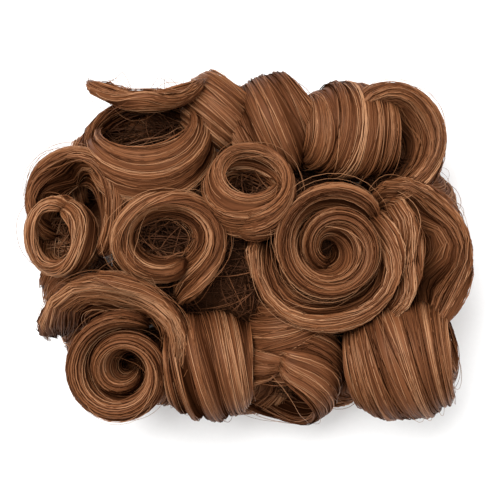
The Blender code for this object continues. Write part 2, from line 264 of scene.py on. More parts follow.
RIM_SQUARENESS = 2.6
FLARE_LEFT_AT_TIP = 0.5
CROWN_SHARE = 0.12  # how far a ribbon's edges turn in towards the curl's axis, as a share of its width


def rim_locks():
    """The lower tier as rows like the curls, set out evenly round the rim."""
    inset = RIM.outer + RIM.thick / 2 + RIM_INSET
    reach_x = PIECE_LENGTH / 2 - inset
    reach_y = PIECE_WIDTH / 2 - inset
    power = 2 / RIM_SQUARENESS
    rows = []
    for i in range(RIM_LOCKS):
        angle = 2 * math.pi * (i + 0.5) / RIM_LOCKS
        c, s = math.cos(angle), math.sin(angle)
        x = math.copysign(abs(c) ** power, c) * reach_x
        y = math.copysign(abs(s) ** power, s) * reach_y
        facing = math.degrees(math.atan2(y / reach_y**2, x / reach_x**2)) + 90
        rows.append(RIM._replace(name=f"rim_lock_{i + 1:02d}", x=x, y=y, facing=facing, start=facing))
    return rows


RIMS = rim_locks()
print(f"{len(CURLS)} curls and {len(RIMS)} rim locks")

# %% [markdown]
# A lock's middle line is worked out as arrays: at each station its point, the way it runs, and the
# directions across the ribbon and through it. Strands are read from these arrays at any place between.

# %% The middle line of a lock

STATIONS_PER_TURN = 60
PAST_TIP = 0.05  # the line runs on past the lock's tip, for the strands that stick out of it
Course = namedtuple("Course", "points forward wide deep size length")


def unit(vectors):
    """Each vector at length 1."""
    return vectors / np.maximum(np.linalg.norm(vectors, axis=-1, keepdims=True), 1e-12)


def turned(axis, angle):
    """A 3 by 3 rotation about a unit axis."""
    x, y, z = axis
    skew = np.array([[0, -z, y], [z, 0, -x], [-y, x, 0]])
    return np.eye(3) + math.sin(angle) * skew + (1 - math.cos(angle)) * skew @ skew


def taper(share):
    """Width along a lock: gathered at its root and its tip, full between."""
    rise = np.sin(np.clip(share / 0.25, 0, 1) * np.pi / 2)
    fall = np.sin(np.clip((1 - share) / 0.2, 0, 1) * np.pi / 2)
    return (0.72 + 0.28 * rise) * (0.6 + 0.4 * fall)


def course_of(lock):
    """The middle line of a lock, in metres."""
    facing = math.radians(lock.facing)
    lean = turned((-math.sin(facing), math.cos(facing), 0), math.radians(lock.tilt))
    across, along, axis = lean[:, 0], lean[:, 1], lean[:, 2]
    count = round(lock.turns * STATIONS_PER_TURN)
    share = np.linspace(0, 1 + PAST_TIP, count)[:, None]
    angle = np.radians(lock.start + lock.sense * 360 * lock.turns * share)
    radial = across * np.cos(angle) + along * np.sin(angle)
    radius = lock.outer + (lock.inner - lock.outer) * share
    flat = across * np.cos(angle) + along * np.sin(angle) * lock.squash
    points = np.array([lock.x, lock.y, lock.z]) + flat * radius - axis * lock.sink * share
    points = points - axis * lock.dip * np.abs(2 * np.minimum(share, 1) - 1) ** 4
    lean_out = np.radians(lock.cone * (1 - (1 - FLARE_LEFT_AT_TIP) * share))
    wide = axis * np.cos(lean_out) + radial * np.sin(lean_out)
    if lock.tail:
        start = (along * np.cos(angle[0]) - across * np.sin(angle[0])) * lock.sense
        back = np.linspace(lock.tail, 0, 16, endpoint=False)[:, None]
        tail = points[0] - start * back + np.array([0, 0, lock.rise / lock.tail]) * back
        points = np.concatenate([tail, points])
        wide = np.concatenate([np.repeat(wide[:1], len(tail), 0), wide])
        for _ in range(6):
            points[1:-1] = (points[:-2] + points[1:-1] * 2 + points[2:]) / 4
    forward = unit(np.gradient(points, axis=0))
    wide = unit(wide - forward * (wide * forward).sum(1, keepdims=True))
    steps = np.linalg.norm(np.diff(points, axis=0), axis=1)
    size = taper(np.linspace(0, 1 + PAST_TIP, len(points)))[:, None]
    return Course(points * MM, forward, wide, np.cross(forward, wide), size, steps.sum() * MM)


def read_at(values, place):
    """Rows of an array at fractional places from 0 to 1."""
    place = np.clip(place, 0, 1) * (len(values) - 1)
    low = np.minimum(place.astype(int), len(values) - 2)
    part = (place - low)[..., None]
    return values[low] * (1 - part) + values[low + 1] * part


longest = max(CURLS, key=lambda lock: course_of(lock).length)
print(f"longest lock: {longest.name}, {course_of(longest).length / MM:.0f} mm")

# %% [markdown]
# Set hair parts into sub-locks of uneven width, with grooves of uneven depth between them. So a lock's
# skin is an oval section whose surface dips at each groove, and each sub-lock stands a little higher or
# lower than the next. The core and the strands on it are both read from this skin, so they fit each other.

# %% The skin of a lock

SUB_LOCK_WIDTH = 6.0
GROOVE_DEPTH = (0.5, 2.4)
LEVEL_RANGE = 1.0
SWAY = 0.09  # how far a sub-lock wanders round the lock, in radians
CLUMP_WIDTH = 1.5  # strands cling together in clumps this wide
# Locks that part more deeply than the rest, and how far the hair slants round a lock in each turn
PARTED = {
    "curl_low_centre_barrel": 1.9,
    "lock_right_arch": 1.6,
    "curl_top_right_barrel": 1.5,
    "lock_top_band": 1.4,
}
SLANTS = {"curl_low_right_barrel": -0.22, "lock_right_arch": 0.1, "curl_top_right_barrel": 0.12}
FULLNESS = 0.5  # added all round, so that neighbours touch
END_REACH = 0.3  # the share of its width over which a lock's section closes at its ends


def wander(rng, count, waves=3):
    """Smooth random curves from -1 to 1 along a lock, as functions of the place. One per entry."""
    pace = rng.uniform(0.6, 2.6, (count, waves))
    phase = rng.uniform(0, 2 * np.pi, (count, waves))
    weight = 1 / (1 + np.arange(waves))

    def read(which, place):
        turns = 2 * np.pi * pace[which][..., None, :] * place[..., None] + phase[which][..., None, :]
        return (np.sin(turns) * weight).sum(-1) / weight.sum()

    return read


class Skin:
    """The surface of one lock, read by the place along it and the share of the way round it."""

    def __init__(self, lock, rng):
        self.lock = lock
        self.course = course_of(lock)
        parting = PARTED.get(lock.name, 1.0)
        self.groups = max(6, round(2.2 * lock.width / (SUB_LOCK_WIDTH * (0.4 + 0.6 * parting))))
        widths = rng.uniform(0.45, 1.6, self.groups)
        self.bounds = np.concatenate([[0], np.cumsum(widths) / widths.sum()])
        self.depths = rng.uniform(*GROOVE_DEPTH, self.groups) * parting
        self.roundness = 0.5 * parting
        self.bend = rng.uniform(0, 2 * np.pi, 3)
        self.levels = wander(rng, self.groups)
        self.opens = wander(rng, self.groups)
        self.sways = wander(rng, self.groups)
        self.twist = wander(rng, 1)
        self.tones = rng.normal(0, 0.1, self.groups)
        self.ends = rng.uniform(0, 0.05, self.groups)
        self.slant = SLANTS.get(lock.name, rng.uniform(-0.07, 0.07))
        self.clumps = round(2.1 * lock.width / CLUMP_WIDTH)
        self.clump_tones = rng.normal(0, 0.11, self.clumps)
        self.clump_lifts = rng.uniform(0, 0.5, self.clumps)

    def group_at(self, around):
        """Which sub-lock lies at this share of the way round."""
        return np.clip(np.searchsorted(self.bounds, around % 1, side="right") - 1, 0, self.groups - 1)

    def part_at(self, around):
        """How far across its sub-lock this lies, from 0 to 1."""
        which = self.group_at(around)
        low, high = self.bounds[which], self.bounds[which + 1]
        return (around % 1 - low) / (high - low)

    def valley_at(self, around, place):
        """How deep the groove is here, in millimetres."""
        part = self.part_at(around)
        which = self.group_at(around)
        border = np.where(part < 0.5, which, (which + 1) % self.groups)
        first = border[:, 0]
        opening = np.clip(0.65 + 0.6 * self.opens(first, place), 0.15, 1)
        return self.depths[border] * opening * (1 - np.abs(np.sin(np.pi * part)) ** self.roundness)

    def closing_at(self, place, least):
        """The share of its full section that the lock has near its ends."""
        tip = 1 / (1 + PAST_TIP)
        near = np.minimum(place, tip - place) * self.course.length
        reach = np.clip(near / (self.lock.width * END_REACH * MM), 0, 1)
        return np.maximum(np.sqrt(1 - (1 - reach) ** 2), least)

    def read(self, place, around, lift, closing):
        """Points and outward directions. All the arrays are (strands, stations); lift is in metres."""
        slanted = around + self.slant * place * self.lock.turns
        turn = 2 * np.pi * slanted + 0.5 * self.twist(np.zeros(place.shape[0], int), place)
        turn = turn + SWAY * self.sways(self.group_at(around[:, 0]), place)
        turn = turn + 0.22 * np.sin(turn + self.bend[0]) + 0.12 * np.sin(2 * turn + self.bend[1])
        course = self.course
        size = read_at(course.size, place)
        half_width = (self.lock.width / 2 * size + FULLNESS) * MM * closing[..., None]
        half_depth = (self.lock.thick / 2 * np.minimum(1, 0.35 + size) + FULLNESS) * MM * closing[..., None]
        side = np.cos(turn)[..., None]
        face = np.sin(turn)[..., None]
        wide, deep = read_at(course.wide, place), read_at(course.deep, place)
        out = unit(wide * side * half_depth + deep * face * half_width)
        level = self.levels(self.group_at(around[:, 0]), place) * LEVEL_RANGE
        rise = lift + (level - self.valley_at(around, place)) * closing * MM
        body = wide * np.sign(side) * np.abs(side) ** 0.9 * half_width
        body = body + deep * np.sign(face) * np.abs(face) ** 0.9 * half_depth
        crown = CROWN_SHARE * self.lock.width * MM * side**2
        body = body - deep * self.lock.sense * crown * size
        return read_at(course.points, place) + body + out * rise[..., None], out


print("sub-locks on a lock 32 mm wide:", round(2.2 * 32 / SUB_LOCK_WIDTH))

# %% [markdown]
# Hundreds of strands on a lock are one mesh, made from arrays. Each strand is a tube with three sides,
# smooth shaded, thin at both ends and closed. Its UV holds the length along the hair, and its tone is
# an attribute of its points. The core is the same kind of tube with many sides.

# %% Tubes from arrays

Bundle = namedtuple("Bundle", "points faces uv tone")


def tube_bundle(rings, along, across, tone):
    """Closed tubes. rings is (tubes, stations, sides, 3), along (tubes, stations), across (tubes, sides).

    tone is one value for each tube, or (tubes, stations, sides).
    """
    tubes, stations, sides, _ = rings.shape
    index = np.arange(tubes * stations * sides).reshape(tubes, stations, sides)
    after = np.roll(index, -1, axis=2)
    quads = np.stack([index[:, :-1], after[:, :-1], after[:, 1:], index[:, 1:]], -1)
    uv = np.empty((tubes, stations, sides, 2))
    uv[..., 0] = along[:, :, None]
    uv[..., 1] = across[:, None, :]
    tones = tone if tone.ndim == 3 else np.broadcast_to(tone[:, None, None], (tubes, stations, sides))
    faces = [quads.reshape(-1, 4)]
    caps = np.concatenate([index[:, 0, ::-1], index[:, -1]])
    return Bundle(rings.reshape(-1, 3), faces + [caps], uv.reshape(-1, 2), tones.reshape(-1))


def strand_rings(paths, out, radius, sides=3):
    """Rings round each path, with three sides unless more are asked for."""
    forward = unit(np.gradient(paths, axis=1))
    first = unit(out - forward * (out * forward).sum(-1, keepdims=True))
    second = np.cross(forward, first)
    turn = 2 * np.pi * np.arange(sides) / sides
    ring = first[:, :, None] * np.cos(turn)[:, None] + second[:, :, None] * np.sin(turn)[:, None]
    return paths[:, :, None] + ring * radius[:, :, None, None]


def placed(name, data):
    """A new object in the scene that holds this data."""
    made = bpy.data.objects.new(name, data)
    bpy.context.scene.collection.objects.link(made)
    return made


def piece_from(name, bundles, material):
    """One object from several bundles, with its UV map, its tones and smooth shading."""
    points = np.concatenate([b.points for b in bundles])
    uv = np.concatenate([b.uv for b in bundles])
    tone = np.concatenate([b.tone for b in bundles])
    loops, sizes, offset = [], [], 0
    for b in bundles:
        for faces in b.faces:
            loops.append((faces + offset).ravel())
            sizes.append(np.full(len(faces), faces.shape[1]))
        offset += len(b.points)
    loops, sizes = np.concatenate(loops), np.concatenate(sizes)
    mesh = bpy.data.meshes.new(name)
    mesh.vertices.add(len(points))
    mesh.vertices.foreach_set("co", points.astype(np.float32).ravel())
    mesh.loops.add(len(loops))
    mesh.loops.foreach_set("vertex_index", loops.astype(np.int32))
    mesh.polygons.add(len(sizes))
    starts = np.concatenate([[0], np.cumsum(sizes)[:-1]])
    mesh.polygons.foreach_set("loop_start", starts.astype(np.int32))
    mesh.update(calc_edges=True)
    layer = mesh.uv_layers.new(name="along_across")
    layer.data.foreach_set("uv", uv[loops].astype(np.float32).ravel())
    mesh.attributes.new("tone", "FLOAT", "POINT").data.foreach_set("value", tone.astype(np.float32))
    mesh.shade_smooth()
    mesh.validate()
    mesh.materials.append(material)
    made = placed(name, mesh)
    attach(made, "root")
    return made


def triangles(thing):
    """How many triangles a piece has."""
    thing.data.calc_loop_triangles()
    return len(thing.data.loop_triangles)


# %% [markdown]
# Hair also crosses the hollows of the curls, as shallow arcs at all angles. These free strands are made
# from a few rows that say where each hollow is, how wide it is and how high the strands lie in it.

# %% Strands across the hollows

UP = np.array([0, 0, 1.0])
# Centre, half width, half depth and height of the strands that cross each hollow
LEFT_RING_HOLLOW = (-84.5, 6, 12, 12, 47)
HOLLOWS = [
    (-39, 5, 16, 13, 48),
    (-46, 53, 22, 13, 41),
    (-1, 26, 12, 11, 53),
    (-3, -12, 17, 16, 48),
    (15, 22, 12, 12, 46),
    (16, -62, 14, 8, 30),
    (-68, -13, 10, 8, 40),
    (62, 40, 12, 14, 38),
]


def column(rng, low, high, count):
    """One random number for each strand, as a column."""
    return rng.uniform(low, high, count)[:, None]


def dark_strands(paths, out, rng, low, high, thin=0.2, thick=0.38):
    """Tubes along paths in millimetres. low and high bound their tones, thin and thick their radii."""
    count, stations = paths.shape[:2]
    steps = np.linalg.norm(np.diff(paths, axis=1), axis=2)
    along = np.concatenate([np.zeros((count, 1)), np.cumsum(steps, axis=1)], axis=1) * MM
    ends = np.sin(np.pi * np.linspace(0.04, 0.96, stations)) ** 0.5
    radius = column(rng, thin, thick, count) * ends * MM
    across = np.repeat(column(rng, 0, 1, count), 3, 1)
    rings = strand_rings(paths * MM, np.broadcast_to(out, paths.shape), radius)
    return tube_bundle(rings, along, across, rng.uniform(low, high, count))


def hollow_strands(row, count, rng, low=0.3, high=1.0):
    """Strands that cross one hollow as shallow arcs."""
    x, y, half_width, half_depth, height = row
    share = np.linspace(-1, 1, 10)
    heading = column(rng, 0, 2 * np.pi, count)
    aside = column(rng, -0.8, 0.8, count) + column(rng, -0.3, 0.3, count) * share**2
    run = np.sqrt(np.clip(1 - aside**2, 0.15, 1)) * share
    flat_x = run * np.cos(heading) - aside * np.sin(heading)
    flat_y = run * np.sin(heading) + aside * np.cos(heading)
    z = height - column(rng, 0, 7, count) - column(rng, -3, 4, count) * share**2
    paths = np.stack([x + half_width * flat_x, y + half_depth * flat_y, z], -1)
    return dark_strands(paths, UP, rng, low, high)


print("hollows:", 1 + len(HOLLOWS))

# %% [markdown]
# A lock of hair is its core, a coat of strands that hides the core, and thin loose hairs that stand off
# it. Strands gather towards the middle of their sub-lock and end at different places, which feathers the
# tip. A few stray across the others. Where a roll covers its own inside, only a few strands are made.

# %% A lock of hair

CORE_SIDES_PER_GROUP = 5
# Painted shade: the core's tone is lower than the strands', as shade falls between the strands.
CORE_SHADE_TONE = 0.36
SECTIONS_PER_TURN = 24
CURL_SPACING = 0.5  # between strands, in millimetres
RIM_SPACING = 0.62
ROLL_SPACING_SHARE = 0.8
LYING_TILT = 60  # a lock whose axis leans more than this lies on its side
COVERED_TURNS = 1.2  # a roll with more turns than this hides its inside
SHOWN_TURNS = 1.15  # how far the strands run that only a roll's outside shows
KEPT_INSIDE = 0.25  # the share of strands that are made where a lock hides them
STRAND_RADII = (0.18, 0.34)
STRAND_TONE = 0.63
TONE_SPREAD = 0.11
# Painted shade: a strand sunk into a groove is darkened, as shade falls in the grooves.
GROOVE_SHADE = 0.3  # how much darker a strand is for each millimetre that it is sunk
STRAY_SHARE = 0.16
DARK_SHARE = 0.14
DARK_TONE = 0.35  # how much darker the dark strands are
LOOSE_PER_LOCK = 36
LOOSE_STATIONS = 16
LOOSE_RADII = (0.08, 0.14)
LEAST_HEIGHT = 0.3  # no loose hair lies lower than this, in millimetres
LEFT_RING_STRANDS = 110
# Painted shade: on a curl that rises above this height, hair below it is darkened, fully over this span, as
# shade falls low between the curls.
SHADE_PAINTED_BELOW = 60.0  # height in millimetres
SHADE_PAINTED_OVER = 22.0
PAINTED_SHADE_STRENGTH = 0.34


def shaded(rings, tone):
    """Tones lowered towards the low parts of the tall curls: painted shade where the curls crowd each other.
    """
    depth = np.clip((SHADE_PAINTED_BELOW - rings[..., 2] / MM) / SHADE_PAINTED_OVER, 0, 1)
    return tone - PAINTED_SHADE_STRENGTH * depth * (rings[..., 2].max() / MM > SHADE_PAINTED_BELOW)


def lock_core(skin, stations):
    """The solid inside of a lock, rounded off at both ends."""
    sides = skin.groups * CORE_SIDES_PER_GROUP
    place = np.linspace(0.0, 1 / (1 + PAST_TIP), stations)
    around = (np.arange(sides) + 0.5) / sides
    rounds, grid = np.broadcast_arrays(around[:, None], place)
    points, _ = skin.read(grid, rounds, np.zeros(grid.shape), skin.closing_at(grid, 0.1))
    rings = points.transpose(1, 0, 2)[None]
    along = (place * skin.course.length)[None]
    across = (np.abs(around - 0.5) * 2.1 * skin.lock.width * MM)[None]
    groove = skin.valley_at(rounds, grid).T[None]
    # The core's low tone, lowered further in its grooves, is painted shade between and under the strands.
    return tube_bundle(rings, along, across, shaded(rings, CORE_SHADE_TONE - 0.15 * groove))


def strands_on(skin, around, start, end, stations, rng):
    """A coat of strands that begin round the lock at around and run from start to end."""
    count = len(around)
    place = start[:, None] + (end - start)[:, None] * np.linspace(0, 1, stations)
    stray = np.where(rng.uniform(0, 1, count) < STRAY_SHARE, 1.0, 0.0)[:, None]
    drift = wander(rng, count)(np.arange(count), place) * (0.014 + 0.03 * stray)
    wave = wander(rng, count)(np.arange(count), place)
    clump = np.floor(around % 1 * skin.clumps).astype(int) % skin.clumps
    lift = column(rng, 0.0, 0.3, count) + 0.22 * wave + 0.35 * stray
    lift = lift + skin.clump_lifts[clump][:, None] * 0.8
    gather = ((around % 1 * skin.clumps) % 1 - 0.5) / skin.clumps
    around = around - 0.4 * gather
    spots = around[:, None] + drift
    paths, out = skin.read(place, spots, lift * MM, skin.closing_at(place, 0.5))
    share = np.linspace(0, 1, stations)
    thin = np.clip(np.minimum(share / 0.05, (1 - share) / 0.14), 0, 1) ** 0.6
    radius = column(rng, *STRAND_RADII, count) * (0.25 + 0.75 * thin) * MM
    sunk = skin.valley_at(spots, place)
    tone = STRAND_TONE + rng.normal(0, TONE_SPREAD, count)
    tone = tone + skin.tones[skin.group_at(around)] + skin.clump_tones[clump]
    tone = np.where(rng.uniform(0, 1, count) < DARK_SHARE, tone - DARK_TONE, tone)
    across = np.repeat(column(rng, 0, 1, count), 3, 1)
    rings = strand_rings(paths, out, radius)
    # Sunk strands are darkened as painted shade in the grooves, and shaded() paints shade low between the
    # curls.
    tone = shaded(rings, (tone[:, None] - GROOVE_SHADE * sunk)[..., None])
    return tube_bundle(rings, place * skin.course.length, across, tone)


def lock_coat(skin, stations, rng, spacing):
    """The strands that cover a lock, close where they show and sparse where they don't."""
    lying = skin.lock.tilt > LYING_TILT
    rolled = lying and skin.lock.turns > COVERED_TURNS
    count = round(2.15 * skin.lock.width / (spacing * (ROLL_SPACING_SHARE if rolled else 1)))
    around = (np.arange(count) + rng.uniform(-0.45, 0.45, count)) / count % 1
    which = skin.group_at(around)
    width = skin.bounds[which + 1] - skin.bounds[which]
    around = around + 0.3 * width * np.sin(2 * np.pi * skin.part_at(around)) / (2 * np.pi)
    seen = 2 * np.pi * (around + skin.slant * 0.5)  # where it lies half a turn in
    side, outer = np.cos(seen), np.sin(seen) * skin.lock.sense
    inside = (outer < -0.3) & (np.abs(side) < 0.8)
    hidden = inside if lying else side < -0.5
    keep = ~hidden | (rng.uniform(0, 1, count) < KEPT_INSIDE)
    around, side, outer, which = around[keep], side[keep], outer[keep], which[keep]
    start = rng.uniform(0, 0.03, len(around))
    end = 1 - rng.gamma(1.5, 0.035, len(around)) - skin.ends[which]
    short = np.full(len(around), False)
    if rolled:
        short = (outer > 0.2) & (np.abs(side) < 0.75)
        end = np.where(short, SHOWN_TURNS / skin.lock.turns, end)
    made = []
    for chosen, reach in ((~short, 1.0), (short, SHOWN_TURNS / skin.lock.turns)):
        if chosen.any():
            steps = max(10, round(stations * min(reach, 1)))
            made.append(strands_on(skin, around[chosen], start[chosen], end[chosen], steps, rng))
    return made


def lock_loose(skin, rng, count):
    """Thin hairs that stand off a lock."""
    around = rng.uniform(0, 1, count)
    start = rng.uniform(0, 0.55, count)
    end = start + rng.uniform(0.2, 0.5, count) / max(1.0, skin.lock.turns)
    share = np.linspace(0, 1, LOOSE_STATIONS)
    place = start[:, None] + (end - start)[:, None] * share
    stand = rng.gamma(1.5, 1.4, count).clip(0.5, 6.5)[:, None] * np.sin(np.pi * share) ** 0.8
    drift = wander(rng, count)(np.arange(count), place) * 0.04
    paths, out = skin.read(place, around[:, None] + drift, (0.4 + stand) * MM, np.ones(place.shape))
    paths[..., 2] = np.maximum(paths[..., 2], LEAST_HEIGHT * MM)
    radius = np.repeat(column(rng, *LOOSE_RADII, count), LOOSE_STATIONS, 1) * MM
    across = np.repeat(column(rng, 0, 1, count), 3, 1)
    tone = rng.uniform(0.4, 0.9, count)
    return tube_bundle(strand_rings(paths, out, radius), place * skin.course.length, across, tone)


def hair_lock(lock, seed, spacing):
    """The finished lock, which stands for the plain solid of the same name."""
    rng = np.random.default_rng(seed)
    skin = Skin(lock, rng)
    stations = max(12, round(lock.turns * SECTIONS_PER_TURN + lock.tail / 4))
    parts = [lock_core(skin, stations + 6)] + lock_coat(skin, stations, rng, spacing)
    parts.append(lock_loose(skin, rng, LOOSE_PER_LOCK))
    if lock.name == "curl_left_ring":
        parts.append(hollow_strands(LEFT_RING_HOLLOW, LEFT_RING_STRANDS, rng, 0.2, 0.8))
    made = piece_from(lock.name + "_hair", parts, CURL_HAIR)
    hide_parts(lock.name)
    return made


CURL_PIECES = [hair_lock(lock, 100 + i, CURL_SPACING) for i, lock in enumerate(CURLS)]
print("curls:", sum(triangles(piece) for piece in CURL_PIECES), "triangles")

# %% [markdown]
# The lower tier is made the same way. Its locks leave the base over the combs and turn up round the rim.

# %% The lower tier

RIM_PIECES = [hair_lock(lock, 300 + i, RIM_SPACING) for i, lock in enumerate(RIMS)]
print("rim locks:", sum(triangles(piece) for piece in RIM_PIECES), "triangles")

# %% [markdown]
# Under the curls lies the sewn base, a low dome: a stretched sphere that is cut flat below. It shows only
# in the gaps, where a real piece shows roots of hair that cross each other in deep shade. So strands in the
# weft's darker range, with that shade painted in, lie over the dome in all directions, some stand up in the
# hollows, and paler ones run out from the knot below.

# %% The sewn base

BASE_HALF = (66.0, 48.0)
BASE_TOP = 44.0
BASE_UNDERSIDE = 7.3
OVER_DOME = 620
UNDER_DOME = 1100
PER_HOLLOW = 46
KNOT_X = 7.0


def oval_paths(middle, half, reach, angle, z):
    """Paths given by the way round an oval, the share of the way out to its rim, and a height."""
    x = middle + half[0] * reach * np.cos(angle)
    return np.stack([x, half[1] * reach * np.sin(angle), z], -1)


def over_dome(rng):
    """Strands that lie over the dome."""
    share = np.linspace(0, 1, 12)
    reach = np.sqrt(column(rng, 0.0, 1, OVER_DOME)) + column(rng, -0.4, 0.4, OVER_DOME) * share
    reach = np.abs(reach).clip(0, 0.995)
    angle = column(rng, 0, 2 * np.pi, OVER_DOME) + column(rng, -0.9, 0.9, OVER_DOME) * share
    lift = 0.4 + column(rng, 0.2, 5, OVER_DOME) * np.sin(np.pi * share)
    dome = BASE_UNDERSIDE + (BASE_TOP - BASE_UNDERSIDE) * np.sqrt(np.clip(1 - reach**2.5, 0, 1))
    paths = oval_paths(0, BASE_HALF, reach, angle, dome + lift)
    return dark_strands(paths, unit(paths + 30.0 * UP), rng, 0.25, 0.8)


def under_dome(rng):
    """Strands that run out from the knot along the underside."""
    share = np.linspace(0, 1, 8)
    angle = column(rng, 0, 2 * np.pi, UNDER_DOME) + column(rng, -0.25, 0.25, UNDER_DOME) * share**2
    start = 0.14 + 0.6 * column(rng, 0, 1, UNDER_DOME) ** 0.7
    reach = start + (column(rng, 0.85, 1.01, UNDER_DOME) - start) * share
    z = BASE_UNDERSIDE - column(rng, -0.1, 0.2, UNDER_DOME) - 0.2 * np.sin(np.pi * share)
    paths = oval_paths(KNOT_X * (1 - reach), BASE_HALF, reach, angle, z)
    return dark_strands(paths, -UP, rng, 0.45, 1.1, 0.3, 0.6)


def stretched_sphere(segments, rings, half, middle):
    """A sphere with these half sizes about this middle, in millimetres. It is left in edit mode."""
    bpy.ops.mesh.primitive_uv_sphere_add(segments=segments, ring_count=rings, radius=1, location=(0, 0, 0))
    bpy.ops.object.mode_set(mode="EDIT")
    bpy.ops.mesh.select_all(action="SELECT")
    bpy.ops.transform.resize(value=[v * MM for v in half])
    bpy.ops.transform.translate(value=[v * MM for v in middle])
    return bpy.context.object


def close_mesh():
    """Turns all the faces outwards and leaves edit mode."""
    bpy.ops.mesh.select_all(action="SELECT")
    bpy.ops.mesh.normals_make_consistent(inside=False)
    bpy.ops.object.mode_set(mode="OBJECT")


def base_dome():
    """The solid dome, cut flat below."""
    dome = stretched_sphere(64, 40, (*BASE_HALF, BASE_TOP - BASE_UNDERSIDE), (0, 0, BASE_UNDERSIDE))
    dome.name = "weft_base_hair"
    bpy.ops.mesh.bisect(
        plane_co=(0, 0, (BASE_UNDERSIDE + 0.1) * MM), plane_no=(0, 0, 1), use_fill=True, clear_inner=True
    )
    close_mesh()
    bpy.ops.object.shade_smooth_by_angle(angle=math.radians(40))
    dome.data.uv_layers[0].name = "along_across"
    tone = dome.data.attributes.new("tone", "FLOAT", "POINT")
    tone.data.foreach_set("value", np.full(len(dome.data.vertices), 0.5, np.float32))
    dome.data.materials.append(WEFT_HAIR_PAINTED_SHADE)
    return dome


def joined(first, others):
    """Joins objects into the first one."""
    bpy.ops.object.select_all(action="DESELECT")
    for thing in [first] + others:
        thing.select_set(True)
    bpy.context.view_layer.objects.active = first
    bpy.ops.object.join()
    return first


rng = np.random.default_rng(41)
BASE = base_dome()
base_strands = [over_dome(rng), under_dome(rng)] + [hollow_strands(row, PER_HOLLOW, rng) for row in HOLLOWS]
joined(BASE, [piece_from("base_strands", base_strands, WEFT_HAIR_PAINTED_SHADE)])
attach(BASE, "root")
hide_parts("weft_base")
print("base:", triangles(BASE), "triangles")

# %% [markdown]
# Below the base, the ends of the wefts are gathered and stitched into a small round knot. A flattened
# sphere gives the cushion, and strands that wind in towards its middle, as a bun does, cover it.

# %% The gathered knot

KNOT_HALF = (12.5, 11.2)
KNOT_UNDERSIDE = 2.5
KNOT_STRANDS = 170


def knot_strands(rng):
    """Strands that wind from the rim of the knot to its middle."""
    share = np.linspace(0, 1, 14)
    reach = 1.06 - column(rng, 0.55, 0.98, KNOT_STRANDS) * share
    angle = column(rng, 0, 2 * np.pi, KNOT_STRANDS) + column(rng, 1.0, 1.9, KNOT_STRANDS) * share
    dent = 0.9 * np.exp(-((reach / 0.16) ** 2))
    bulge = 2.35 * np.sqrt(1 - (reach / 1.07) ** 2)
    z = KNOT_UNDERSIDE + 2.4 - bulge + dent + column(rng, 0, 0.3, KNOT_STRANDS)
    paths = oval_paths(KNOT_X, KNOT_HALF, reach, angle, z)
    return dark_strands(paths, -UP, rng, 0.35, 0.85, 0.26, 0.5)


def knot_cushion():
    """The cushion under the strands."""
    half = (KNOT_HALF[0] * 0.97, KNOT_HALF[1] * 0.97, 2.0)
    cushion = stretched_sphere(32, 16, half, (KNOT_X, 0, KNOT_UNDERSIDE + 2.4))
    cushion.name = "centre_knot_hair"
    bpy.ops.object.mode_set(mode="OBJECT")
    bpy.ops.object.shade_smooth()
    cushion.data.uv_layers[0].name = "along_across"
    cushion.data.materials.append(CURL_HAIR)
    return cushion


KNOT = joined(knot_cushion(), [piece_from("knot_strands", [knot_strands(rng)], CURL_HAIR)])
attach(KNOT, "root")
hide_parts("centre_knot")
print("knot:", triangles(KNOT), "triangles")

# %% [markdown]
# The combs are amber plastic: clear enough to glow, pinkish brown on the outer wall, orange at the teeth's
# roots and greenish yellow at their tips. The colour follows the distance from the piece's middle, so
# one ramp over the Object coordinates gives it to both combs. A soft noise makes the faint swirls.

# %% Amber plastic


def amber_plastic():
    """Glossy amber whose colour runs from the tips of the teeth to the wall."""
    made, tree, shader = new_material("amber_plastic")
    place = shader_node(tree, "TexCoord").outputs["Object"]
    split = shader_node(tree, "SeparateXYZ", Vector=place).outputs
    bow = blend_values(tree, "MULTIPLY", split["Y"], split["Y"])
    bow = blend_values(tree, "MULTIPLY", bow, 2.55)
    away = blend_values(tree, "ADD", blend_values(tree, "ABSOLUTE", split["X"]), bow)
    swirl = noise(tree, place, 160.0, 3.0, 0.6)
    away = blend_values(tree, "MULTIPLY_ADD", swirl, 0.006, away)
    span = shader_node(tree, "MapRange", Value=away, From_Min=0.018, From_Max=0.070)
    stops = [
        (0.0, (0.27, 0.22, 0.075)),
        (0.35, (0.33, 0.19, 0.035)),
        (0.7, (0.42, 0.145, 0.014)),
        (0.86, (0.42, 0.105, 0.008)),
        (0.93, (0.24, 0.058, 0.014)),
        (1.0, (0.22, 0.055, 0.018)),
    ]
    looks = {
        "Base Color": ramp(tree, span.outputs["Result"], stops),
        "Roughness": blend_values(tree, "MULTIPLY_ADD", swirl, 0.12, 0.12),
        "Subsurface Weight": 0.35,
        "Subsurface Scale": 0.004,
        "Coat Weight": 0.4,
    }
    feed(tree, shader, looks)
    return made


AMBER = amber_plastic()
print("comb finish:", AMBER.name)

# %% [markdown]
# A comb's wall, its groove and its beaded rail all follow one bow, a long circle, so each is a flat
# profile spun about that circle's centre. Spinning keeps their spacing even, which bending a straight bar
# would not. A bevel rounds their edges, and a round bead stands at the root of each tooth.

# %% The bowed spine of a comb

COMB_HALF = 67.0
SPINE_HALF_LENGTH = 42.0
SPINE_BOW = 4.5
BOW_RADIUS = (SPINE_HALF_LENGTH**2 + SPINE_BOW**2) / (2 * SPINE_BOW)
TOOTH_COUNT = 14
TOOTH_PITCH = 5.4
TOOTH_LENGTH = 44.0
TOOTH_ROWS = [(k - (TOOTH_COUNT - 1) / 2) * TOOTH_PITCH for k in range(TOOTH_COUNT)]


def bow_offset(y):
    """How far the spine lies inside its outermost point at this place along it, in millimetres."""
    return SPINE_BOW * (y / SPINE_HALF_LENGTH) ** 2


